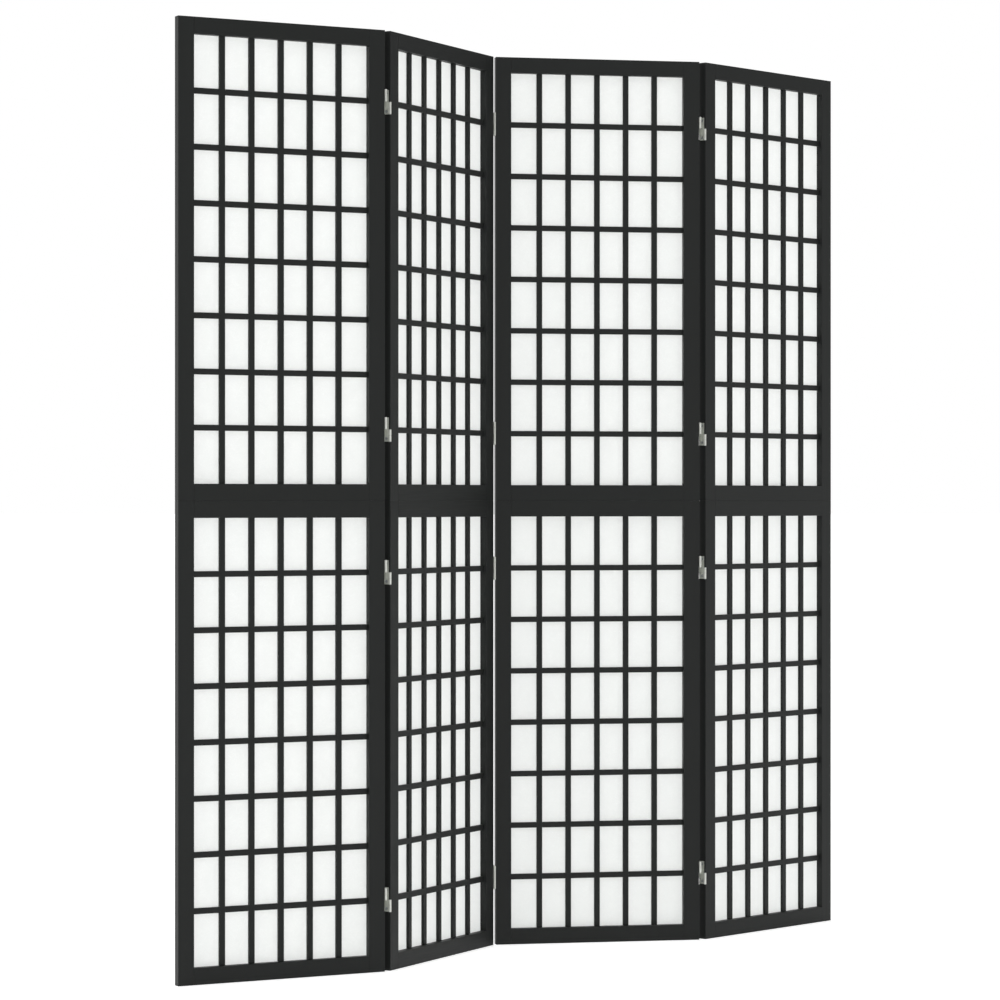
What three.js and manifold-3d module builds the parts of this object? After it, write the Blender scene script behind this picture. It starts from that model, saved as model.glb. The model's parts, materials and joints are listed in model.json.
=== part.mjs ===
// Shoji folding screen: four tall panels in a zig-zag, each a black lacquered frame with a lattice
// and a sheet of white paper behind it, joined by twelve double-action steel hinges.
// Millimetres, +Z up, front towards -Y. The origin is on the floor, in the middle of the footprint.
import * as THREE from "three";
import { mergeVertices } from "three/addons/utils/BufferGeometryUtils.js";
import Module from "manifold-3d";

// Panels. Each is two equal half-frames, one standing on the other.
const panelWidth = 400;
const halfHeight = 850;
const frameThickness = 16;
const stileWidth = 30;
const railWidth = 30;
const seam = 0.3; // between the two half-frames
const fitGap = 0.3; // clearance wherever one piece seats on another

// Lattice: its bars cross flush and divide the opening into equal cells.
const columns = 6;
const rows = 8;
const barWidth = 10.5;
const barDepth = 6;
const paperThickness = 0.4;
const rabbetWidth = 5; // step behind the lattice that the paper's edge lies on
const rabbetDepth = 3; // from the back of the frame to that step, where the bars end too
const overcut = 1; // how far a cutter runs out past the face that it opens

// Wood joints: stub tenons on the rails and upright bars, and dowels that locate the upper half on
// the lower.
const barTenon = 5;
const tenonLength = 20;
const tenonThickness = 6;
const tenonShoulder = 5;
const dowelDiameter = 8;
const dowelReach = 15; // depth of a dowel in each half
const dowelInset = 40; // from the end of its rail

// Double-action hinges: two leaves and two links on a front and a rear pin, so that a fold can turn
// about either face. A knuckle fills one quarter of the height: the leaves have the outer quarters
// and the links, which are straps from pin to pin, the inner ones.
const hingeHeight = 46;
const hingeInset = 129; // centre of a hinge from the nearer end of its half-frame
const panelGap = 5; // between the stiles of two panels when they stand flat
const pinProud = 1; // pin axis in front of, or behind, the face of the frame
const pinDiameter = 2;
const sheetThickness = 1;
const leafMargin = 3.3; // edge of a leaf from the face of the frame
const knuckleGap = 0.3;
const screwHole = 3.6;
const roundSides = 6; // of dowels, pins and screw holes

// How it stands: the turn from each panel to the next, seen from above, anticlockwise positive.
// A positive turn brings the rear faces together, about the rear pins.
const folds = [34.7, -51.6, 36.5];

const lacquer = new THREE.MeshStandardMaterial({ color: 0x2c2e2d, roughness: 0.45, metalness: 0 });
const paper = new THREE.MeshStandardMaterial({ color: 0xf3f1ea, roughness: 0.9, metalness: 0 });
const steel = new THREE.MeshStandardMaterial({ color: 0xb0b2ab, roughness: 0.35, metalness: 0.9 });

const wasm = await Module();
wasm.setup();

// A closed geometry as a solid that can be joined and cut.
function solidOf(geometry) {
  geometry.deleteAttribute("normal");
  geometry.deleteAttribute("uv");
  const merged = mergeVertices(geometry, 1e-4);
  return new wasm.Manifold(
    new wasm.Mesh({
      numProp: 3,
      vertProperties: merged.attributes.position.array,
      triVerts: new Uint32Array(merged.index.array),
    }),
  );
}

// A solid back as a flat-shaded geometry, its coplanar faces merged.
function geometryOf(solid) {
  const mesh = solid.asOriginal().getMesh();
  const geometry = new THREE.BufferGeometry();
  geometry.setAttribute("position", new THREE.BufferAttribute(mesh.vertProperties, 3));
  geometry.setIndex(new THREE.BufferAttribute(mesh.triVerts, 1));
  const flat = geometry.toNonIndexed();
  flat.computeVertexNormals();
  return flat;
}

function join(solids) {
  return solids.reduce((whole, piece) => whole.add(piece));
}

function cut(solid, cutters) {
  return cutters.reduce((rest, cutter) => rest.subtract(cutter), solid);
}

// A squared block from its ranges along X, Y and Z.
function block([x0, x1], [y0, y1], [z0, z1]) {
  const geometry = new THREE.BoxGeometry(x1 - x0, y1 - y0, z1 - z0);
  return solidOf(geometry.translate((x0 + x1) / 2, (y0 + y1) / 2, (z0 + z1) / 2));
}

// An upright round bar centred on x, y, from z0 to z1.
function upright(radius, x, y, [z0, z1], sides) {
  const geometry = new THREE.CylinderGeometry(radius, radius, z1 - z0, sides);
  return solidOf(geometry.rotateX(Math.PI / 2).translate(x, y, (z0 + z1) / 2));
}

// A range grown by the same amount at both ends.
function grown([low, high], amount) {
  return [low - amount, high + amount];
}

// Ranges shared by the pieces of a half-frame, whose corner stands at the origin.
const openingX = [stileWidth, panelWidth - stileWidth];
const openingZ = [railWidth, halfHeight - railWidth];
const latticeRear = frameThickness - rabbetDepth;
const latticeY = [latticeRear - barDepth, latticeRear];
const rabbetX = grown(openingX, rabbetWidth);
const rabbetZ = grown(openingZ, rabbetWidth);
const tenonY = [(frameThickness - tenonThickness) / 2, (frameThickness + tenonThickness) / 2];
const tenonX = grown(openingX, tenonLength);
const railRanges = [
  [0, railWidth],
  [halfHeight - railWidth, halfHeight],
];

// The centres of the bars that divide a range into equal cells.
function barCentres([low, high], cells) {
  return Array.from({ length: cells - 1 }, (_, i) => low + ((high - low) * (i + 1)) / cells);
}

function barRanges(range, cells) {
  return barCentres(range, cells).map((c) => [c - barWidth / 2, c + barWidth / 2]);
}

// The step that is cut out of the back of the frame, all round the opening.
function rabbet() {
  return block(rabbetX, [latticeY[1], frameThickness + overcut], rabbetZ);
}

function dowelPlaces() {
  return [openingX[0] + dowelInset, openingX[1] - dowelInset];
}

// Rails with their tenons, and the lattice between them: glued up as one before the stiles go on.
function railsAndLattice(isUpper) {
  const railX = grown(openingX, -fitGap);
  const inRails = grown(openingZ, barTenon);
  const wood = join([
    ...railRanges.map((z) => block(railX, [0, frameThickness], z)),
    ...railRanges.map((z) => block(tenonX, tenonY, grown(z, -tenonShoulder))),
  ]);
  const bars = [
    ...barRanges(openingX, columns).map((x) => block(x, latticeY, inRails)),
    ...barRanges(openingZ, rows).map((z) => block(railX, latticeY, z)),
  ];
  const grid = join([cut(wood, [rabbet()]), ...bars]);
  const middle = frameThickness / 2;
  if (isUpper) {
    const holeZ = [-overcut, dowelReach + fitGap];
    const radius = dowelDiameter / 2 + fitGap;
    return cut(grid, dowelPlaces().map((x) => upright(radius, x, middle, holeZ, roundSides)));
  }
  const pegZ = [halfHeight - dowelReach, halfHeight + seam + dowelReach];
  const pegs = dowelPlaces().map((x) => upright(dowelDiameter / 2, x, middle, pegZ, roundSides));
  return join([grid, ...pegs]);
}

// A stile with its mortises and its length of the rabbet.
function stile(xRange) {
  const mortiseX = grown(tenonX, fitGap);
  const mortiseY = grown(tenonY, fitGap);
  const mortises = railRanges.map((z) => block(mortiseX, mortiseY, grown(z, fitGap - tenonShoulder)));
  const plain = block(xRange, [0, frameThickness], [0, halfHeight]);
  return cut(plain, [rabbet(), ...mortises]);
}

function paperSheet() {
  const front = latticeY[1] + fitGap;
  return block(grown(rabbetX, -fitGap), [front, front + paperThickness], grown(rabbetZ, -fitGap));
}

// Hinge. Its frame: x across the gap between two flat panels, y from their front face to the rear
// one, z up from the middle of the hinge. The quarters are counted from the top.
const quarter = hingeHeight / 4;
const barrelRadius = panelGap / 2 - fitGap;
const pinY = { front: -pinProud, rear: frameThickness + pinProud };
const wholeZ = grown([-hingeHeight / 2, hingeHeight / 2], -knuckleGap / 2);

function quarterZ(number) {
  const top = hingeHeight / 2 - (number - 1) * quarter;
  return grown([top - quarter, top], -knuckleGap / 2);
}

// An upright eight-sided barrel whose flats lie at its radius, so that a leaf runs flush into it.
function barrel(side, [z0, z1]) {
  const half = barrelRadius * Math.tan(Math.PI / 8);
  const corners = [
    [barrelRadius, half],
    [half, barrelRadius],
    [-half, barrelRadius],
    [-barrelRadius, half],
  ];
  const outline = [...corners, ...corners.map(([x, y]) => [-x, -y])];
  const shape = new THREE.Shape(outline.map(([x, y]) => new THREE.Vector2(x, y + pinY[side])));
  const geometry = new THREE.ExtrudeGeometry(shape, { depth: z1 - z0, bevelEnabled: false });
  return solidOf(geometry.translate(0, 0, z0));
}

// A leaf: a plate on the edge of the stile, with an ear that runs flush into each of its knuckles.
function leaf(xRange, ears) {
  const yRange = [leafMargin, frameThickness - leafMargin];
  const arms = ears.map(({ side, place }) => {
    const reach = side === "front" ? [pinY.front, yRange[1]] : [yRange[0], pinY.rear];
    return block(xRange, reach, quarterZ(place));
  });
  return join([block(xRange, yRange, wholeZ), ...arms]);
}

function screwBore([x0, x1], z) {
  const length = x1 - x0 + 2 * overcut;
  const geometry = new THREE.CylinderGeometry(screwHole / 2, screwHole / 2, length, roundSides);
  return solidOf(geometry.rotateZ(Math.PI / 2).translate((x0 + x1) / 2, frameThickness / 2, z));
}

// One half of a hinge: the leaf screwed to a stile, and the link that stays with that leaf when the
// fold turns about the active pin. sideX is -1 on the left panel's stile and 1 on the right one's.
// The left half carries the active pin over the whole height, and the right half's active knuckles
// turn on it. On the idle side each half has a solid barrel over two quarters, which stands for its
// two knuckles and their pin.
function hingeHalf(sideX, activeSide) {
  const idleSide = activeSide === "front" ? "rear" : "front";
  const leafEars = [
    { side: "front", place: sideX < 0 ? 1 : 4 },
    { side: "rear", place: sideX < 0 ? 4 : 1 },
  ];
  const isHigh = leafEars.find((ear) => ear.side === idleSide).place === 1;
  const linkPlace = isHigh ? 2 : 3;
  const idleZ = isHigh ? [knuckleGap / 2, wholeZ[1]] : [wholeZ[0], -knuckleGap / 2];
  const activePlaces = [leafEars.find((ear) => ear.side === activeSide).place, linkPlace];
  const leafX = [sideX * barrelRadius, sideX * (barrelRadius - sheetThickness)].sort((a, b) => a - b);
  const linkX = [-sheetThickness / 2, sheetThickness / 2];
  const body = join([
    leaf(leafX, leafEars),
    block(linkX, [pinY.front, pinY.rear], quarterZ(linkPlace)),
    barrel(idleSide, idleZ),
    ...activePlaces.map((place) => barrel(activeSide, quarterZ(place))),
  ]);
  const screws = [quarterZ(1), quarterZ(4)].map(([z0, z1]) => screwBore(leafX, (z0 + z1) / 2));
  if (sideX < 0) {
    const pin = upright(pinDiameter / 2, 0, pinY[activeSide], wholeZ, roundSides);
    return cut(join([body, pin]), screws);
  }
  const boreZ = grown(wholeZ, overcut);
  const bore = upright(pinDiameter / 2 + fitGap, 0, pinY[activeSide], boreZ, roundSides);
  return cut(body, [bore, ...screws]);
}

function mesh(name, solid, material) {
  const made = new THREE.Mesh(geometryOf(solid), material);
  made.name = name;
  return made;
}

// One panel, its lower left front corner at the origin.
function panel(number) {
  const group = new THREE.Group();
  for (const level of ["lower", "upper"]) {
    const half = new THREE.Group();
    const isUpper = level === "upper";
    const name = `panel_${number}_${level}`;
    half.position.z = isUpper ? halfHeight + seam : 0;
    half.add(
      mesh(`${name}_left_stile`, stile([0, stileWidth]), lacquer),
      mesh(`${name}_right_stile`, stile([panelWidth - stileWidth, panelWidth]), lacquer),
      mesh(`${name}_rails_and_lattice`, railsAndLattice(isUpper), lacquer),
      mesh(`${name}_paper`, paperSheet(), paper),
    );
    group.add(half);
  }
  return group;
}

// Heights of the four hinges of a fold, from the floor up.
function hingeHeights() {
  const upperBase = halfHeight + seam;
  return [0, upperBase].flatMap((base) => [base + hingeInset, base + halfHeight - hingeInset]);
}

function addHingeHalves(panelGroup, fold, sideX, activeSide) {
  hingeHeights().forEach((z, i) => {
    const half = sideX < 0 ? "left" : "right";
    const made = mesh(`fold_${fold}_hinge_${i + 1}_${half}`, hingeHalf(sideX, activeSide), steel);
    made.position.set(sideX < 0 ? panelWidth + panelGap / 2 : -panelGap / 2, 0, z);
    panelGroup.add(made);
  });
}

// The row of panels: each hangs from the pins of the one on its left and is turned about them.
function panelChain() {
  const first = panel(1);
  let last = first;
  folds.forEach((turn, i) => {
    const activeSide = turn > 0 ? "rear" : "front";
    const next = panel(i + 2);
    const pin = new THREE.Group();
    pin.name = `fold_${i + 1}_pin`;
    pin.position.set(panelWidth + panelGap / 2, pinY[activeSide], 0);
    pin.rotation.z = THREE.MathUtils.degToRad(turn);
    next.position.set(panelGap / 2, -pinY[activeSide], 0);
    addHingeHalves(last, i + 1, -1, activeSide);
    addHingeHalves(next, i + 1, 1, activeSide);
    pin.add(next);
    last.add(pin);
    last = next;
  });
  first.updateMatrixWorld(true);
  const farCorner = new THREE.Vector3(panelWidth, 0, 0).applyMatrix4(last.matrixWorld);
  first.rotation.z = -Math.atan2(farCorner.y, farCorner.x);
  return first;
}

const screen = new THREE.Group();
screen.name = "shoji_folding_screen";
const chain = panelChain();
screen.add(chain);
const footprint = new THREE.Box3().setFromObject(screen, true).getCenter(new THREE.Vector3());
chain.position.set(-footprint.x, -footprint.y, 0);

export default screen;
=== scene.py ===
import json
import math
import random

import bpy
from mathutils import Matrix, Vector


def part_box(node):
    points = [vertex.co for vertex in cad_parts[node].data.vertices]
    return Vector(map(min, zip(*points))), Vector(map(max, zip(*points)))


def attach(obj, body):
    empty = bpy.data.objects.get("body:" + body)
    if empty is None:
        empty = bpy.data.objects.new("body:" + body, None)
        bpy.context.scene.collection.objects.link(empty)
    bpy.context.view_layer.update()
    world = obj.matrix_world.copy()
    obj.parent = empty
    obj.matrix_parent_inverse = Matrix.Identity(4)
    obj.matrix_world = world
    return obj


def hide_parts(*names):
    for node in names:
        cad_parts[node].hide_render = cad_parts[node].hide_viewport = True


# Looks of a shoji folding screen: four tall panels, each of two black lacquered half-frames with
# a lattice and a sheet of white paper behind it, joined by twelve double-action hinges.
# Metres, +Z up, the lattice side towards -Y. Every kind of piece is made once, flat in the frame
# of its half-frame or its hinge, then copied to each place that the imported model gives.

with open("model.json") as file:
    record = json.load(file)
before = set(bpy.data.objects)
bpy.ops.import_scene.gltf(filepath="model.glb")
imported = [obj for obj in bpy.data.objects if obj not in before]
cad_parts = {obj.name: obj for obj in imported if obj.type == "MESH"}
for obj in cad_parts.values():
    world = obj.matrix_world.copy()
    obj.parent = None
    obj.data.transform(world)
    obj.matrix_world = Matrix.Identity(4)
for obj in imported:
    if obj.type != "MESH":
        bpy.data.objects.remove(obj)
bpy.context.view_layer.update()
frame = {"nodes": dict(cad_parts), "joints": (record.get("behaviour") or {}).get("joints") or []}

MM = 0.001
PANELS = (1, 2, 3, 4)
FOLDS = (1, 2, 3)
HINGES = (1, 2, 3, 4)  # of one fold, from the floor up
LEVELS = ("lower", "upper")

# Frame and lattice
RAIL_HEIGHT = 30 * MM
COLUMNS = 6
ROWS = 8
BAR_WIDTH = 10.5 * MM
BAR_DEPTH = 6 * MM
STEP_DEPTH = 3 * MM  # from the back of the frame to the step behind the lattice
STEP_WIDTH = 5 * MM
JOINT_PLAY = 0.3 * MM  # round a tenon, a dowel, the ends of a cross bar and the paper
BUTT_PLAY = 0.08 * MM  # between a rail and its stile, mostly filled by the lacquer
SEAM_PLAY = 0.004 * MM  # between the halves of a panel, where the upper one rests on the lower
TENON_LENGTH = 20 * MM  # past the inner edge of the stile
TENON_SHOULDER = 5 * MM  # from the faces of the rail in to its tenon
BAR_TENON = 5 * MM  # how far an upright bar reaches into a rail
LAP_PLAY = 0.06 * MM  # on each side of a bar where two bars cross
DOWEL_RADIUS = 4 * MM
DOWEL_REACH = 15 * MM  # into each half-frame
DOWEL_INSET = 40 * MM  # from the inner edge of the stile
DOWEL_SIDES = 20
FRAME_ARRIS = 0.5 * MM  # rounding of the long edges, as left by sanding and lacquer
BAR_ARRIS = 0.35 * MM
ARRIS_STEPS = 3
BAR_ARRIS_STEPS = 2
LIPPED_FOLDS = (1, 3)  # the folds with their pins at the rear
FOLD_LIP = 1.2 * MM  # how far the stile to the left of such a fold reaches into the gap
LEAF_PLAY = 0.15 * MM  # round a leaf in the notch that is cut in that lip
OVERCUT = 1 * MM  # how far a cutter runs past what it cuts

# Paper
PAPER_THICKNESS = 0.25 * MM
PAPER_SWELL = 0.1 * MM  # how far the paper bows back between the bars
PAPER_FACES_PER_CELL = 5  # along each side of a cell

# Hinge: a knuckle fills a quarter of the height, counted from the top
HINGE_HEIGHT = 44 * MM
KNUCKLE_GAP = 0.3 * MM
BARREL_RADIUS = 2.2 * MM
SHEET_METAL = 1 * MM
LEAF_MARGIN = 3.3 * MM  # edge of a leaf from the face of the frame
BURR = 0.002 * MM  # points nearer to each other than this are merged after cutting
EYE_PLAY = 0.08 * MM  # between a knuckle and its pin
ROLL_SLIT = 0.35 * MM  # between the end of a rolled knuckle and its leaf
PIN_STANDOFF = 1 * MM  # from the frame's face out to the middle of a pin
PIN_RADIUS = 1.1 * MM
PIN_HEAD_RADIUS = 1.75 * MM
PIN_HEAD_HEIGHT = 0.5 * MM
PIN_HEAD_ROUNDING = 0.8  # share of the head's height
SCREW_HEAD_RADIUS = 2.9 * MM
SCREW_SHANK_RADIUS = 1.4 * MM
SCREW_HOLE_RADIUS = 1.7 * MM
SINK_DEPTH = 0.8 * MM  # of the countersunk part of a leaf's hole
SCREW_LENGTH = 12 * MM
SCREW_TIP_LENGTH = 3 * MM
SCREW_TIP_RADIUS = 0.4 * MM
SCREW_NECK = 0.5 * MM  # below the head's flat, where the shank runs into it
SCREW_SLOT_WIDTH = 0.7 * MM
SCREW_SLOT_LENGTH = 3.4 * MM
SCREW_SLOT_DEPTH = 0.6 * MM
ROUND_SIDES = 28

SQUARE_EDGE = math.radians(40)  # edges sharper than this are eased
SOFT_EDGE = math.radians(35)  # edges blunter than this are shaded smooth
GRAIN_SHIFT = 5  # metres to each side
boards = random.Random(17)  # shifts the grain, so that no two boards are cut alike


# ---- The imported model's own sizes and places ----


def node_corners(node, place):
    """Lowest and highest corner of a CAD node as seen from a place that it was turned to."""
    back = place.inverted()
    points = [back @ vertex.co for vertex in frame["nodes"][node].data.vertices]
    low = Vector([min(point[axis] for point in points) for axis in range(3)])
    high = Vector([max(point[axis] for point in points) for axis in range(3)])
    return low, high


def middle(node):
    low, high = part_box(node)
    return (low + high) / 2


def panel_place(number):
    """Where a panel stands: its lower left front corner, turned so that X runs along its width."""
    left = f"panel_{number}_lower_left_stile"
    across = middle(f"panel_{number}_lower_right_stile") - middle(left)
    turn = Matrix.Rotation(math.atan2(across.y, across.x), 4, "Z")
    corner, _ = node_corners(left, turn)
    return turn @ Matrix.Translation(corner)


places = {number: panel_place(number) for number in PANELS}
_, stile_high = node_corners("panel_1_lower_left_stile", places[1])
_, right_high = node_corners("panel_1_lower_right_stile", places[1])
upper_low, _ = node_corners("panel_1_upper_left_stile", places[1])
STILE_WIDTH = stile_high.x
FRAME_DEPTH = stile_high.y
HALF_HEIGHT = stile_high.z
PANEL_WIDTH = right_high.x
LEVEL_HEIGHTS = {"lower": 0.0, "upper": upper_low.z}

OPENING_X = (STILE_WIDTH, PANEL_WIDTH - STILE_WIDTH)
OPENING_Z = (RAIL_HEIGHT, HALF_HEIGHT - RAIL_HEIGHT)
LATTICE_BACK = FRAME_DEPTH - STEP_DEPTH
LATTICE_FRONT = LATTICE_BACK - BAR_DEPTH
LAP_MIDDLE = LATTICE_BACK - BAR_DEPTH / 2


def bar_centres(opening, cells):
    low, high = opening
    return [low + (high - low) * number / cells for number in range(1, cells)]


UPRIGHTS = bar_centres(OPENING_X, COLUMNS)
CROSSES = bar_centres(OPENING_Z, ROWS)
DOWELS = (OPENING_X[0] + DOWEL_INSET, OPENING_X[1] - DOWEL_INSET)
# The two hinges of a half-frame, which stand at the same heights in every one.
HINGE_CENTRES = [middle(f"fold_1_hinge_{number}_left").z for number in HINGES[:2]]


# ---- Materials ----

# Sockets of a Mix node that blends two colours, which share their names with its other sockets.
SHARE, FIRST, SECOND, BLENDED = 0, 6, 7, 2
WHITE = (1, 1, 1, 1)


def linear(hex_colour):
    """An sRGB hex colour as the linear colour that a shader takes."""
    channels = [int(hex_colour[at : at + 2], 16) / 255 for at in (1, 3, 5)]
    return (*[c / 12.92 if c <= 0.04045 else ((c + 0.055) / 1.055) ** 2.4 for c in channels], 1.0)


def add(tree, kind, settings=(), links=()):
    """Adds a node. A setting is named after a socket or property, a link after its input."""
    node = tree.nodes.new(kind)
    for name, value in dict(settings).items():
        if isinstance(name, int) or name in node.inputs:
            node.inputs[name].default_value = value
        else:
            setattr(node, name, value)
    for name, source in dict(links).items():
        tree.links.new(source, node.inputs[name])
    return node


def new_material(name):
    material = bpy.data.materials.new(name)
    material.use_nodes = True
    material.node_tree.nodes.clear()
    return material, material.node_tree


def show(tree, shader):
    add(tree, "ShaderNodeOutputMaterial", links={"Surface": shader.outputs[0]})


def grain_lines(tree, across, along, detail):
    """Noise drawn out along the grain, in streaks about across wide and along long, in metres."""
    place = add(tree, "ShaderNodeAttribute", {"attribute_name": "grain"})
    stretched = add(
        tree,
        "ShaderNodeMapping",
        {"Scale": (1 / across, 1 / across, 1 / along)},
        {"Vector": place.outputs["Vector"]},
    )
    return add(
        tree,
        "ShaderNodeTexNoise",
        {"Scale": 1.0, "Detail": detail, "Roughness": 0.6},
        {"Vector": stretched.outputs["Vector"]},
    )


def black_lacquered_pine():
    """Softwood under two sprayed coats of satin black lacquer. They level out most of the grain,
    so the eye gets an even, slightly green black whose soft sheen has faint streaks."""
    material, tree = new_material("black_lacquered_pine")
    # Softwood's year rings lie about 2 mm apart; the grain of single pores is finer than a pixel.
    rings = grain_lines(tree, across=2.2 * MM, along=90 * MM, detail=3.0)
    # The spray's orange peel, with bumps of about 1 mm.
    peel = grain_lines(tree, across=1.0 * MM, along=1.0 * MM, detail=1.0)
    colour = add(
        tree,
        "ShaderNodeMix",
        {"data_type": "RGBA", FIRST: linear("#191b1a"), SECOND: linear("#1f2120")},
        {SHARE: rings.outputs["Fac"]},
    )
    sheen = add(
        tree,
        "ShaderNodeMapRange",
        {"From Min": 0.3, "From Max": 0.7, "To Min": 0.46, "To Max": 0.56},
        {"Value": rings.outputs["Fac"]},
    )
    # The peel, at about a third of its height, on top of the rings.
    relief = add(
        tree,
        "ShaderNodeMath",
        {"operation": "MULTIPLY_ADD", 1: 0.35},
        {0: peel.outputs["Fac"], 2: rings.outputs["Fac"]},
    )
    bump = add(
        tree,
        "ShaderNodeBump",
        {"Strength": 0.25, "Distance": 0.06 * MM},
        {"Height": relief.outputs["Value"]},
    )
    shader = add(
        tree,
        "ShaderNodeBsdfPrincipled",
        {"IOR": 1.48, "Specular IOR Level": 0.25},
        {
            "Base Color": colour.outputs[BLENDED],
            "Roughness": sheen.outputs["Result"],
            "Normal": bump.outputs["Normal"],
        },
    )
    show(tree, shader)
    return material


def white_washi():
    """Machine-made mulberry paper, stretched and glued. Its long fibres cross every way and let
    more or less light through, so it is a clean white, with a faint cloud and, close to, single
    threads."""
    material, tree = new_material("white_washi")
    place = add(tree, "ShaderNodeAttribute", {"attribute_name": "grain"})
    # The pulp settles in patches of about 28 mm.
    cloud = add(
        tree,
        "ShaderNodeTexNoise",
        {"Scale": 1 / (28 * MM), "Detail": 4.0, "Roughness": 0.55},
        {"Vector": place.outputs["Vector"]},
    )
    fibres = None
    # Fibres are about 12 mm long. They are drawn 0.5 mm wide, five times too coarse, to be seen,
    # and in three layers that are turned against each other.
    for turn in (0.35, 1.30, 2.25):
        laid = add(
            tree,
            "ShaderNodeMapping",
            {
                "vector_type": "TEXTURE",
                "Rotation": (0, turn, 0),
                "Scale": (0.5 * MM, 6 * MM, 12 * MM),
            },
            {"Vector": place.outputs["Vector"]},
        )
        strands = add(
            tree,
            "ShaderNodeTexNoise",
            {"Scale": 1.0, "Detail": 1.0, "Distortion": 0.6},
            {"Vector": laid.outputs["Vector"]},
        )
        thin = add(
            tree,
            "ShaderNodeMapRange",
            {"From Min": 0.62, "From Max": 0.72, "To Min": 0.0, "To Max": 1.0},
            {"Value": strands.outputs["Fac"]},
        )
        if fibres is None:
            fibres = thin.outputs["Result"]
        else:
            both = add(
                tree,
                "ShaderNodeMath",
                {"operation": "MAXIMUM"},
                {0: fibres, 1: thin.outputs["Result"]},
            )
            fibres = both.outputs["Value"]
    pulp = add(
        tree,
        "ShaderNodeMix",
        {"data_type": "RGBA", FIRST: linear("#f4f5f4"), SECOND: linear("#f8f9f8")},
        {SHARE: cloud.outputs["Fac"]},
    )
    colour = add(
        tree,
        "ShaderNodeMix",
        {"data_type": "RGBA", SECOND: linear("#fcfdfc")},
        {SHARE: fibres, FIRST: pulp.outputs[BLENDED]},
    )
    bump = add(
        tree,
        "ShaderNodeBump",
        {"Strength": 0.3, "Distance": 0.05 * MM},
        {"Height": fibres},
    )
    matte = add(
        tree,
        "ShaderNodeBsdfPrincipled",
        {"Roughness": 0.85, "IOR": 1.45},
        {"Base Color": colour.outputs[BLENDED], "Normal": bump.outputs["Normal"]},
    )
    glow = add(
        tree, "ShaderNodeBsdfTranslucent", links={"Color": colour.outputs[BLENDED]}
    )
    paper = add(
        tree,
        "ShaderNodeMixShader",
        {"Fac": 0.7},
        {1: matte.outputs[0], 2: glow.outputs[0]},
    )
    show(tree, paper)
    return material


def satin_nickel_steel():
    """Sheet steel, brushed along the strip and plated with satin nickel under clear matt lacquer.
    It is a pale, slightly warm grey, and stays light in the gap, because the lacquer scatters some
    of the light."""
    material, tree = new_material("satin_nickel_steel")
    # Brush lines are about 0.05 mm apart; they are drawn 0.15 mm apart.
    lines = grain_lines(tree, across=0.15 * MM, along=9 * MM, detail=2.0)
    colour = add(
        tree,
        "ShaderNodeMix",
        {"data_type": "RGBA", FIRST: linear("#d0d2cb"), SECOND: linear("#e0e2db")},
        {SHARE: lines.outputs["Fac"]},
    )
    sheen = add(
        tree,
        "ShaderNodeMapRange",
        {"From Min": 0.3, "From Max": 0.7, "To Min": 0.38, "To Max": 0.50},
        {"Value": lines.outputs["Fac"]},
    )
    bump = add(
        tree,
        "ShaderNodeBump",
        {"Strength": 0.2, "Distance": 0.02 * MM},
        {"Height": lines.outputs["Fac"]},
    )
    shader = add(
        tree,
        "ShaderNodeBsdfPrincipled",
        {"Metallic": 0.7},
        {
            "Base Color": colour.outputs[BLENDED],
            "Roughness": sheen.outputs["Result"],
            "Normal": bump.outputs["Normal"],
        },
    )
    show(tree, shader)
    return material


def zinc_plated_steel():
    """Small screws and pins, tumbled and zinc plated: glossier and bluer than the hinge's sheet,
    with the faint mottle that tumbling leaves."""
    material, tree = new_material("zinc_plated_steel")
    # The dents of tumbling are about 0.2 mm wide; they are drawn 0.6 mm wide.
    mottle = grain_lines(tree, across=0.6 * MM, along=0.6 * MM, detail=3.0)
    colour = add(
        tree,
        "ShaderNodeMix",
        {"data_type": "RGBA", FIRST: linear("#b4b7b9"), SECOND: linear("#cccfd1")},
        {SHARE: mottle.outputs["Fac"]},
    )
    sheen = add(
        tree,
        "ShaderNodeMapRange",
        {"From Min": 0.3, "From Max": 0.7, "To Min": 0.22, "To Max": 0.34},
        {"Value": mottle.outputs["Fac"]},
    )
    shader = add(
        tree,
        "ShaderNodeBsdfPrincipled",
        {"Metallic": 1.0},
        {"Base Color": colour.outputs[BLENDED], "Roughness": sheen.outputs["Result"]},
    )
    show(tree, shader)
    return material


def studio_floor():
    """A white acrylic studio floor, lit from below as well, so that nothing on it has a shadow."""
    material, tree = new_material("studio_floor")
    shader = add(
        tree,
        "ShaderNodeBsdfPrincipled",
        {
            "Base Color": linear("#f4f4f4"),
            "Roughness": 0.9,
            "Specular IOR Level": 0.1,
            "Emission Color": WHITE,
            "Emission Strength": 0.6,
        },
    )
    show(tree, shader)
    return material


LACQUER = black_lacquered_pine()
WASHI = white_washi()
NICKEL = satin_nickel_steel()
ZINC = zinc_plated_steel()


# ---- Bench tools ----


def alone(piece):
    """Leaves only this piece selected, and active."""
    bpy.ops.object.select_all(action="DESELECT")
    piece.select_set(True)
    bpy.context.view_layer.objects.active = piece


def settled(name):
    """The primitive just added, named, with its place, turn and size moved into its mesh."""
    piece = bpy.context.object
    bpy.ops.object.transform_apply(location=True, rotation=True, scale=True)
    piece.name = name
    return piece


def block(name, low, high):
    """Square stock between two corners, still to be worked."""
    low, high = Vector(low), Vector(high)
    bpy.ops.object.select_all(action="DESELECT")
    bpy.ops.mesh.primitive_cube_add(size=1, location=(low + high) / 2, scale=high - low)
    return settled(name)


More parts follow.
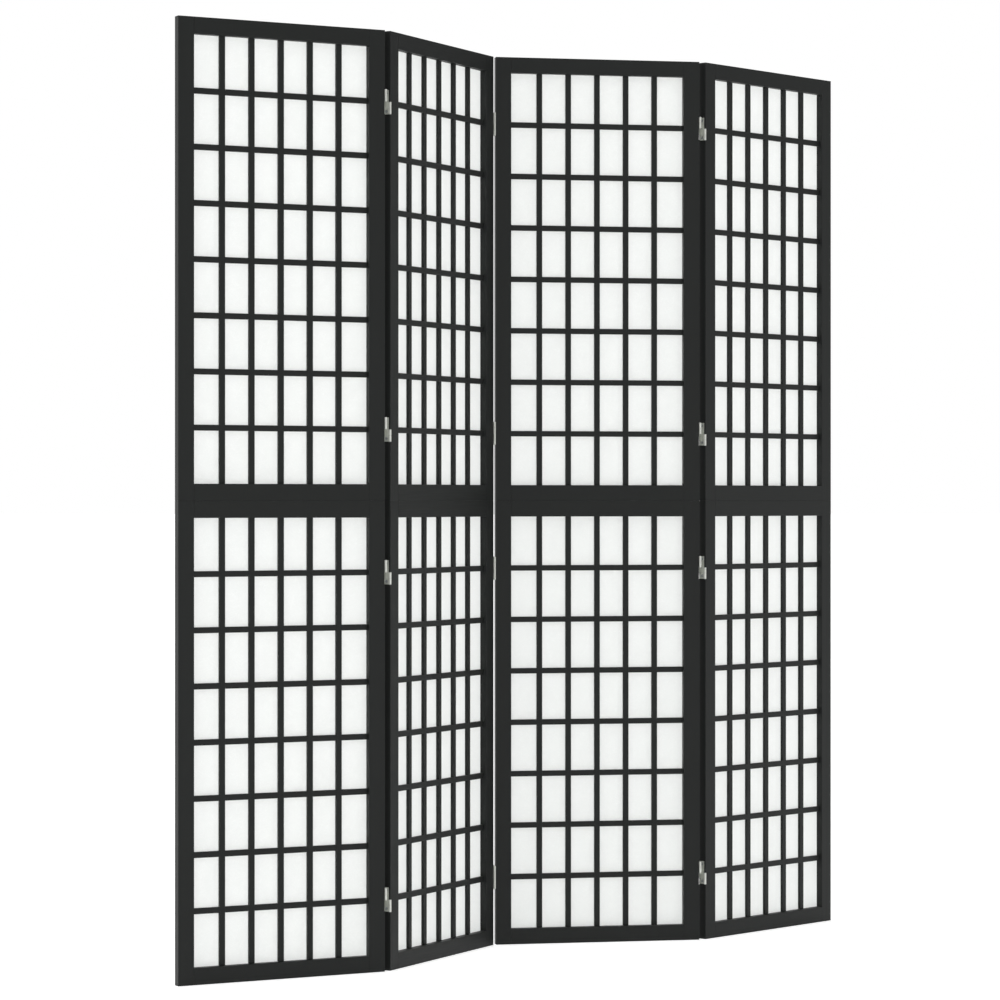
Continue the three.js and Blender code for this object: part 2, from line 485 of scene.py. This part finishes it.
def rod(name, radius, start, length, axis="Z", tip_radius=None, sides=ROUND_SIDES):
    """Round stock from a start point along an axis, tapering to tip_radius if that is given."""
    turn = {"X": (0, math.pi / 2, 0), "Z": (0, 0, 0)}[axis]
    direction = Vector([float(axis == letter) for letter in "XYZ"])
    bpy.ops.object.select_all(action="DESELECT")
    bpy.ops.mesh.primitive_cone_add(
        vertices=sides,
        radius1=radius,
        radius2=radius if tip_radius is None else tip_radius,
        depth=length,
        location=Vector(start) + direction * length / 2,
        rotation=turn,
    )
    return settled(name)


def work(piece, kind, **settings):
    """Adds a modifier with its settings and applies it."""
    alone(piece)
    modifier = piece.modifiers.new("work", kind)
    for name, value in settings.items():
        setattr(modifier, name, value)
    bpy.ops.object.modifier_apply(modifier=modifier.name)


def cut(piece, *cutters):
    for cutter in cutters:
        work(piece, "BOOLEAN", operation="DIFFERENCE", object=cutter, solver="EXACT")
        bpy.data.objects.remove(cutter)


def weld(piece, *others):
    for other in others:
        work(piece, "BOOLEAN", operation="UNION", object=other, solver="EXACT")
        bpy.data.objects.remove(other)


def ease(piece, radius, steps=ARRIS_STEPS):
    """Rounds the square edges."""
    work(
        piece,
        "BEVEL",
        width=radius,
        segments=steps,
        limit_method="ANGLE",
        angle_limit=SQUARE_EDGE,
    )


def open_bench(piece):
    alone(piece)
    bpy.ops.object.mode_set(mode="EDIT")
    bpy.ops.mesh.select_mode(type="FACE")


def close_bench():
    bpy.ops.object.mode_set(mode="OBJECT")


def saw(piece, at_x, side):
    """Cuts a board square at x, and drops what lies to that side of it."""
    open_bench(piece)
    bpy.ops.mesh.select_all(action="SELECT")
    bpy.ops.mesh.bisect(
        plane_co=(at_x, 0, 0), plane_no=(side, 0, 0), use_fill=True, clear_outer=True
    )
    close_bench()


def deburr(piece):
    """Merges the points that cutting left almost on each other and turns all faces outwards."""
    open_bench(piece)
    bpy.ops.mesh.select_all(action="SELECT")
    bpy.ops.mesh.remove_doubles(threshold=BURR)
    bpy.ops.mesh.dissolve_degenerate(threshold=BURR)
    bpy.ops.mesh.normals_make_consistent(inside=False)
    close_bench()


def smooth(piece):
    alone(piece)
    bpy.ops.object.shade_smooth_by_angle(angle=SOFT_EDGE)


def finish_in(piece, material, grain_axis):
    """Gives the finish, and keeps each point's place for the patterns, the grain's axis last."""
    piece.data.materials.clear()
    piece.data.materials.append(material)
    order = {"X": (1, 2, 0), "Z": (0, 1, 2)}[grain_axis]
    grain = piece.data.attributes.new("grain", "FLOAT_VECTOR", "POINT")
    for vertex, stored in zip(piece.data.vertices, grain.data):
        stored.vector = [vertex.co[axis] for axis in order]
    return piece


def set_up(master, name, place, body, stands_for):
    """A copy of a master at its place on its panel, with its own mesh and stretch of grain."""
    piece = master.copy()
    piece.data = master.data.copy()
    piece.name = name
    bpy.context.scene.collection.objects.link(piece)
    shift = Vector([boards.uniform(-GRAIN_SHIFT, GRAIN_SHIFT) for _ in range(3)])
    for stored in piece.data.attributes["grain"].data:
        stored.vector = Vector(stored.vector) + shift
    piece.data.transform(place)
    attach(piece, body)
    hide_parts(stands_for)
    return piece


# ---- Frame and lattice, in the frame of a half-frame ----


def rebate():
    """The step that is planed out of the back of the frame, all round the opening."""
    return block(
        "rebate",
        (OPENING_X[0] - STEP_WIDTH, LATTICE_BACK, OPENING_Z[0] - STEP_WIDTH),
        (OPENING_X[1] + STEP_WIDTH, FRAME_DEPTH + OVERCUT, OPENING_Z[1] + STEP_WIDTH),
    )


def tenon_place(rail_low, play):
    """Corners of a rail's tenons, both at once, with play for the mortises."""
    low = (
        OPENING_X[0] - TENON_LENGTH - play,
        TENON_SHOULDER - play,
        rail_low + TENON_SHOULDER - play,
    )
    high = (
        OPENING_X[1] + TENON_LENGTH + play,
        FRAME_DEPTH - TENON_SHOULDER + play,
        rail_low + RAIL_HEIGHT - TENON_SHOULDER + play,
    )
    return low, high


RAIL_LOWS = {"bottom": 0.0, "top": HALF_HEIGHT - RAIL_HEIGHT}
# The lower half reaches up to the upper one, so that no light comes through the seam.
TOPS = {"lower": LEVEL_HEIGHTS["upper"] - SEAM_PLAY, "upper": HALF_HEIGHT}


def make_stile(level, kind):
    """A stile. A lipped one is a right one that reaches into the gap, with notches for leaves."""
    low_x = 0.0 if kind == "left" else PANEL_WIDTH - STILE_WIDTH
    high_x = low_x + STILE_WIDTH + (FOLD_LIP if kind == "lipped" else 0.0)
    stile = block(f"{kind}_stile", (low_x, 0, 0), (high_x, FRAME_DEPTH, TOPS[level]))
    ease(stile, FRAME_ARRIS)
    mortises = [block("mortise", *tenon_place(low, JOINT_PLAY)) for low in RAIL_LOWS.values()]
    cut(stile, rebate(), *mortises)
    if kind == "lipped":
        reach = HINGE_HEIGHT / 2 + LEAF_PLAY
        notches = [
            block(
                "notch",
                (PANEL_WIDTH + LEAF_PLAY, -OVERCUT, at - reach),
                (high_x + OVERCUT, FRAME_DEPTH + OVERCUT, at + reach),
            )
            for at in HINGE_CENTRES
        ]
        cut(stile, *notches)
    return finish_in(stile, LACQUER, "Z")


def make_rail(level, end):
    """A bottom or top rail, with a tenon at each end, sockets for the bars and the step at the
    back. A rail at the seam also has holes for the dowels."""
    low_z = RAIL_LOWS[end]
    rail = block(
        f"{end}_rail",
        (OPENING_X[0] - OVERCUT, 0, low_z),
        (OPENING_X[1] + OVERCUT, FRAME_DEPTH, TOPS[level] if end == "top" else RAIL_HEIGHT),
    )
    ease(rail, FRAME_ARRIS)
    saw(rail, OPENING_X[0] + BUTT_PLAY, -1)
    saw(rail, OPENING_X[1] - BUTT_PLAY, 1)
    weld(rail, block("tenons", *tenon_place(low_z, 0)))
    inner = OPENING_Z[0] if end == "bottom" else OPENING_Z[1]
    deep = (inner - BAR_TENON - LAP_PLAY, inner + BAR_TENON + LAP_PLAY)
    sockets = [bar_block("socket", at, deep, LAP_PLAY) for at in UPRIGHTS]
    cut(rail, rebate(), *sockets)
    if (level, end) in (("lower", "top"), ("upper", "bottom")):
        start = low_z - OVERCUT if end == "bottom" else low_z + RAIL_HEIGHT - DOWEL_REACH
        for at in DOWELS:
            hole = rod(
                "hole",
                DOWEL_RADIUS + JOINT_PLAY,
                (at, FRAME_DEPTH / 2, start),
                DOWEL_REACH + OVERCUT,
                sides=DOWEL_SIDES,
            )
            cut(rail, hole)
    return finish_in(rail, LACQUER, "X")


def bar_block(name, centre, heights, play=0.0):
    """Stock for an upright bar, or the space for one with play all round."""
    half = BAR_WIDTH / 2 + play
    return block(
        name,
        (centre - half, LATTICE_FRONT - play, heights[0]),
        (centre + half, LATTICE_BACK + play, heights[1]),
    )


def make_upright():
    """An upright bar at x 0. It runs through in front, and each cross bar halves it behind."""
    heights = (OPENING_Z[0] - BAR_TENON, OPENING_Z[1] + BAR_TENON)
    upright = bar_block("upright_bar", 0, heights)
    ease(upright, BAR_ARRIS, BAR_ARRIS_STEPS)
    half = BAR_WIDTH / 2 + LAP_PLAY
    laps = [
        block(
            "lap",
            (-BAR_WIDTH, LAP_MIDDLE - LAP_PLAY, at - half),
            (BAR_WIDTH, LATTICE_BACK + OVERCUT, at + half),
        )
        for at in CROSSES
    ]
    cut(upright, *laps)
    return finish_in(upright, LACQUER, "Z")


def make_cross():
    """A cross bar at z 0. It runs through behind, and each upright bar halves it in front."""
    cross = block(
        "cross_bar",
        (OPENING_X[0] + JOINT_PLAY, LATTICE_FRONT, -BAR_WIDTH / 2),
        (OPENING_X[1] - JOINT_PLAY, LATTICE_BACK, BAR_WIDTH / 2),
    )
    ease(cross, BAR_ARRIS, BAR_ARRIS_STEPS)
    half = BAR_WIDTH / 2 + LAP_PLAY
    laps = [
        block(
            "lap",
            (at - half, LATTICE_FRONT - OVERCUT, -BAR_WIDTH),
            (at + half, LAP_MIDDLE + LAP_PLAY, BAR_WIDTH),
        )
        for at in UPRIGHTS
    ]
    cut(cross, *laps)
    return finish_in(cross, LACQUER, "X")


def make_dowel():
    """A dowel that stands half in each half-frame, at x 0, its ends eased."""
    length = 2 * DOWEL_REACH + LEVEL_HEIGHTS["upper"] - HALF_HEIGHT - 2 * JOINT_PLAY
    start = (0, FRAME_DEPTH / 2, HALF_HEIGHT - DOWEL_REACH + JOINT_PLAY)
    dowel = rod("dowel", DOWEL_RADIUS, start, length, sides=DOWEL_SIDES)
    ease(dowel, FRAME_ARRIS, 1)
    smooth(dowel)
    return finish_in(dowel, LACQUER, "Z")


def ripple(at, opening, cells):
    """A wave that is nought at each edge of a cell, and one way or the other 1 at its middle."""
    low, high = opening
    return math.sin(math.pi * cells * (at - low) / (high - low))


def make_paper():
    """The sheet behind the lattice, tight on the bars and bowed back a little in each cell. Gives
    the sheet and its flat size."""
    low = Vector((OPENING_X[0] - STEP_WIDTH, 0, OPENING_Z[0] - STEP_WIDTH))
    high = Vector((OPENING_X[1] + STEP_WIDTH, 0, OPENING_Z[1] + STEP_WIDTH))
    margin = Vector((JOINT_PLAY, 0, JOINT_PLAY))
    low, high = low + margin, high - margin
    size = high - low
    centre = (low + high) / 2
    bpy.ops.object.select_all(action="DESELECT")
    bpy.ops.mesh.primitive_grid_add(
        x_subdivisions=COLUMNS * PAPER_FACES_PER_CELL,
        y_subdivisions=ROWS * PAPER_FACES_PER_CELL,
        size=1,
        location=(centre.x, LATTICE_BACK + JOINT_PLAY, centre.z),
        rotation=(math.pi / 2, 0, 0),
    )
    bpy.context.object.scale = (size.x, size.z, 1)
    paper = settled("paper")
    for vertex in paper.data.vertices:
        across = ripple(vertex.co.x, OPENING_X, COLUMNS)
        up = ripple(vertex.co.z, OPENING_Z, ROWS)
        vertex.co.y += PAPER_SWELL * abs(across * up)
    work(paper, "SOLIDIFY", thickness=PAPER_THICKNESS, offset=-1)
    smooth(paper)
    finish_in(paper, WASHI, "Z")
    return paper, (size.x, size.z)


def build_panels():
    kinds = ("left", "right", "lipped")
    stiles = {(level, kind): make_stile(level, kind) for level in LEVELS for kind in kinds}
    rails = {(level, end): make_rail(level, end) for level in LEVELS for end in RAIL_LOWS}
    upright, cross, dowel = make_upright(), make_cross(), make_dowel()
    paper, paper_flat = make_paper()
    for number in PANELS:
        body = f"panel_{number}"
        for level in LEVELS:
            half = f"{body}_{level}"
            wood = f"{half}_rails_and_lattice"
            place = places[number] @ Matrix.Translation((0, 0, LEVEL_HEIGHTS[level]))
            for side in ("left", "right"):
                node, name = f"{half}_{side}_stile", f"{half}_{side}_upright_stile"
                kind = "lipped" if side == "right" and number in LIPPED_FOLDS else side
                set_up(stiles[level, kind], name, place, body, node)
            for end in RAIL_LOWS:
                set_up(rails[level, end], f"{half}_{end}_rail", place, body, wood)
            for count, at in enumerate(UPRIGHTS, 1):
                spot = place @ Matrix.Translation((at, 0, 0))
                set_up(upright, f"{half}_upright_bar_{count}", spot, body, wood)
            for count, at in enumerate(CROSSES, 1):
                spot = place @ Matrix.Translation((0, 0, at))
                set_up(cross, f"{half}_cross_bar_{count}", spot, body, wood)
            sheet = set_up(paper, f"{half}_washi", place, body, f"{half}_paper")
        lower_wood = f"{body}_lower_rails_and_lattice"
        for count, at in enumerate(DOWELS, 1):
            spot = places[number] @ Matrix.Translation((at, 0, 0))
            set_up(dowel, f"{body}_dowel_{count}", spot, body, lower_wood)
    for master in (*stiles.values(), *rails.values(), upright, cross, dowel, paper):
        bpy.data.objects.remove(master)


# ---- Hinge. Its frame: x across the gap, y from the front face to the rear one, z up ----

HALF_HINGE = HINGE_HEIGHT / 2
QUARTER = HINGE_HEIGHT / 4
PIN_Y = {"front": -PIN_STANDOFF, "rear": FRAME_DEPTH + PIN_STANDOFF}
LEAF_OUTER = -BARREL_RADIUS  # the leaf's face against the stile
LEAF_INNER = LEAF_OUTER + SHEET_METAL


def band(number, last=None):
    """Lowest and highest z of one quarter of the hinge or several, counted from the top."""
    high = HALF_HINGE - (number - 1) * QUARTER - KNUCKLE_GAP / 2
    low = HALF_HINGE - (last or number) * QUARTER + KNUCKLE_GAP / 2
    return low, high


def add_knuckle(leaf, side, heights):
    """Draws the leaf out to a pin and sets an eye on it, slit where a rolled eye comes back to
    its leaf."""
    low, high = heights
    pin_y = PIN_Y[side]
    near, far = sorted((FRAME_DEPTH / 2, pin_y))
    weld(
        leaf,
        block("arm", (LEAF_OUTER, near, low), (LEAF_INNER, far, high)),
        rod("eye", BARREL_RADIUS, (0, pin_y, low), high - low),
    )
    below, above = low - OVERCUT, high + OVERCUT
    reach = BARREL_RADIUS + OVERCUT
    near, far = sorted((pin_y, pin_y + (reach if side == "front" else -reach)))
    cut(
        leaf,
        rod("bore", PIN_RADIUS + EYE_PLAY, (0, pin_y, below), above - below),
        block("slit", (LEAF_INNER, near, below), (LEAF_INNER + ROLL_SLIT, far, above)),
    )


def make_leaf():
    """The left panel's leaf, with its front knuckle in the top quarter and its rear one in the
    bottom quarter. Its two holes are countersunk on the side of the gap."""
    leaf = block(
        "leaf",
        (LEAF_OUTER, LEAF_MARGIN, band(4)[0]),
        (LEAF_INNER, FRAME_DEPTH - LEAF_MARGIN, band(1)[1]),
    )
    add_knuckle(leaf, "front", band(1))
    add_knuckle(leaf, "rear", band(4))
    sink_slope = (SCREW_HEAD_RADIUS - SCREW_HOLE_RADIUS) / SINK_DEPTH
    for number in (1, 4):
        height = sum(band(number)) / 2
        hole_at = (LEAF_OUTER - OVERCUT, FRAME_DEPTH / 2, height)
        hole = rod("hole", SCREW_HOLE_RADIUS, hole_at, SHEET_METAL + 2 * OVERCUT, axis="X")
        sink = rod(
            "sink",
            SCREW_HOLE_RADIUS,
            (LEAF_INNER - SINK_DEPTH, FRAME_DEPTH / 2, height),
            SINK_DEPTH + OVERCUT,
            axis="X",
            tip_radius=SCREW_HEAD_RADIUS + sink_slope * OVERCUT,
        )
        cut(leaf, hole, sink)
    deburr(leaf)
    smooth(leaf)
    return finish_in(leaf, NICKEL, "Z")


def make_link():
    """The upper link, a strap in the second quarter with a knuckle on each pin."""
    low, high = band(2)
    link = block(
        "link",
        (-SHEET_METAL / 2, PIN_Y["front"], low),
        (SHEET_METAL / 2, PIN_Y["rear"], high),
    )
    for y in PIN_Y.values():
        weld(link, rod("knuckle", BARREL_RADIUS, (0, y, low), high - low))
    for y in PIN_Y.values():
        start = (0, y, low - OVERCUT)
        cut(link, rod("bore", PIN_RADIUS + EYE_PLAY, start, high - low + 2 * OVERCUT))
    deburr(link)
    smooth(link)
    return finish_in(link, NICKEL, "Z")


def make_pin():
    """The upper short pin at x 0, y 0. It fills two quarters and ends in a low domed head."""
    low, high = band(1, 2)
    pin = rod("pin", PIN_RADIUS, (0, 0, low), high - low)
    head = rod("head", PIN_HEAD_RADIUS, (0, 0, high), PIN_HEAD_HEIGHT)
    ease(head, PIN_HEAD_HEIGHT * PIN_HEAD_ROUNDING)
    weld(pin, head)
    smooth(pin)
    return finish_in(pin, ZINC, "Z")


def make_screw():
    """A countersunk screw with a cross recess. Its head is flush at x 0 and it points to -x."""
    thin = SCREW_SHANK_RADIUS
    head_at, tip_at = (-SHEET_METAL, 0, 0), (-SCREW_LENGTH, 0, 0)
    screw = rod("screw", thin, head_at, SHEET_METAL, axis="X", tip_radius=SCREW_HEAD_RADIUS)
    tip = rod("tip", SCREW_TIP_RADIUS, tip_at, SCREW_TIP_LENGTH, axis="X", tip_radius=thin)
    shank_at = (SCREW_TIP_LENGTH - SCREW_LENGTH, 0, 0)
    shank = rod("shank", thin, shank_at, SCREW_LENGTH - SCREW_TIP_LENGTH - SCREW_NECK, axis="X")
    weld(screw, shank, tip)
    long, wide = SCREW_SLOT_LENGTH / 2, SCREW_SLOT_WIDTH / 2
    for half_y, half_z in ((long, wide), (wide, long)):
        slot = block("slot", (-SCREW_SLOT_DEPTH, -half_y, -half_z), (OVERCUT, half_y, half_z))
        cut(screw, slot)
    deburr(screw)
    smooth(screw)
    return finish_in(screw, ZINC, "X")


def hang_hinge_half(name, side, number, pin, masters):
    """Sets up what one panel carries of a hinge. The pins it turns on belong to the left half."""
    leaf, link, short_pin, screw = masters
    node, body = f"{name}_{side}", f"panel_{number}"
    pin_at = places[number].inverted() @ pin
    low, high = node_corners(node, places[number])
    height = (low.z + high.z) / 2
    place = places[number] @ Matrix.Translation((pin_at.x, 0, height))
    upright, upside_down = Matrix.Identity(4), Matrix.Rotation(math.pi, 4, "X")
    active, idle = ("rear", "front") if pin_at.y > FRAME_DEPTH / 2 else ("front", "rear")
    # The left half's idle knuckle is on top when the idle side is the front one.
    on_top = (idle == "front") == (side == "left")

    leaf_place = place
    if side == "right":
        centre = Matrix.Translation((0, FRAME_DEPTH / 2, 0))
        leaf_place = place @ centre @ Matrix.Rotation(math.pi, 4, "Z") @ centre.inverted()
    set_up(leaf, f"{node}_leaf", leaf_place, body, node)

    link_place = place if on_top else place @ Matrix.Translation((0, 0, -QUARTER))
    set_up(link, f"{node}_link", link_place, body, node)

    idle_place = place @ Matrix.Translation((0, PIN_Y[idle], 0))
    idle_place = idle_place @ (upright if on_top else upside_down)
    set_up(short_pin, f"{node}_idle_pin", idle_place, body, node)
    if side == "left":
        active_place = place @ Matrix.Translation((0, PIN_Y[active], 0))
        for end, turn in (("top", upright), ("bottom", upside_down)):
            pin_name = f"{node}_active_pin_{end}"
            set_up(short_pin, pin_name, active_place @ turn, body, node)

    for count, quarter in enumerate((4, 1), 1):
        head_at = (LEAF_INNER, FRAME_DEPTH / 2, sum(band(quarter)) / 2)
        screw_place = leaf_place @ Matrix.Translation(head_at)
        set_up(screw, f"{node}_screw_{count}", screw_place, body, node)


def build_hinges():
    masters = make_leaf(), make_link(), make_pin(), make_screw()
    pins = {joint["name"]: Vector(joint["pos_m"]) for joint in frame["joints"]}
    for fold in FOLDS:
        for hinge in HINGES:
            for side, number in (("left", fold), ("right", fold + 1)):
                name = f"fold_{fold}_hinge_{hinge}"
                hang_hinge_half(name, side, number, pins[f"fold_{fold}"], masters)
    for master in masters:
        bpy.data.objects.remove(master)


# ---- Studio ----

AIM = Vector((-0.0475, 0, 0.8517))  # the camera is level, at half the screen's height
CAMERA_FROM_LEFT = math.radians(36.96)
CAMERA_DISTANCE = 6.352
CAMERA_LENS_MM = 121.24
CAMERA_SENSOR_MM = 36
CAMERA_REACH = 200  # metres, as far as the floor goes
FLOOR_SIZE = 400
FLOOR_DROP = 0.2 * MM  # below the feet, so that no faces coincide
# The walls as the screen sees them: dim, with a bright backdrop behind it and to the left.
WALL_DIMNESS = 0.27
BACKDROP = 0.72  # how much brighter than the walls its middle is
BACKDROP_DIRECTION = (-0.5, 0.866, 0)
BACKDROP_EDGE = -0.2  # cosine of the angle from its middle to where it fades out
# Two wide, soft suns: strength, and in degrees its width and its turns about X and Z.
SUNS = {"key": (0.9, 50, 38, -30), "back": (0.85, 70, -45, -20)}


def set_camera():
    data = bpy.data.cameras.new("camera")
    camera = bpy.data.objects.new("camera", data)
    bpy.context.scene.collection.objects.link(camera)
    data.lens = CAMERA_LENS_MM
    data.sensor_width = CAMERA_SENSOR_MM
    data.clip_end = CAMERA_REACH
    back = Vector((-math.sin(CAMERA_FROM_LEFT), -math.cos(CAMERA_FROM_LEFT), 0))
    camera.location = AIM + back * CAMERA_DISTANCE
    camera.rotation_euler = (math.pi / 2, 0, -CAMERA_FROM_LEFT)
    bpy.context.scene.camera = camera


def lay_floor():
    bpy.ops.object.select_all(action="DESELECT")
    bpy.ops.mesh.primitive_plane_add(size=FLOOR_SIZE, location=(0, 0, -FLOOR_DROP))
    floor = settled("studio_floor")
    floor.data.materials.append(studio_floor())


def light_studio():
    """Walls that the camera sees as white but that light the screen less, and the two suns."""
    world = bpy.data.worlds.new("studio")
    bpy.context.scene.world = world
    world.use_nodes = True
    tree = world.node_tree
    tree.nodes.clear()
    outlook = add(tree, "ShaderNodeTexCoord")
    facing = add(
        tree,
        "ShaderNodeVectorMath",
        {"operation": "DOT_PRODUCT", 1: BACKDROP_DIRECTION},
        {0: outlook.outputs["Generated"]},
    )
    light = add(
        tree,
        "ShaderNodeMapRange",
        {
            "interpolation_type": "SMOOTHSTEP",
            "From Min": BACKDROP_EDGE,
            "To Min": WALL_DIMNESS,
            "To Max": WALL_DIMNESS + BACKDROP,
        },
        {"Value": facing.outputs["Value"]},
    )
    path = add(tree, "ShaderNodeLightPath")
    strength = add(
        tree,
        "ShaderNodeMapRange",
        {"To Max": 1.0},
        {"Value": path.outputs["Is Camera Ray"], "To Min": light.outputs["Result"]},
    )
    walls = add(
        tree,
        "ShaderNodeBackground",
        {"Color": WHITE},
        {"Strength": strength.outputs["Result"]},
    )
    add(tree, "ShaderNodeOutputWorld", links={"Surface": walls.outputs[0]})
    for name, (energy, width, about_x, about_z) in SUNS.items():
        data = bpy.data.lights.new(name, "SUN")
        data.energy = energy
        data.angle = math.radians(width)
        sun = bpy.data.objects.new(name, data)
        sun.rotation_euler = (math.radians(about_x), 0, math.radians(about_z))
        bpy.context.scene.collection.objects.link(sun)
    bpy.context.scene.view_settings.view_transform = "Standard"


set_camera()
lay_floor()
light_studio()
build_panels()
build_hinges()
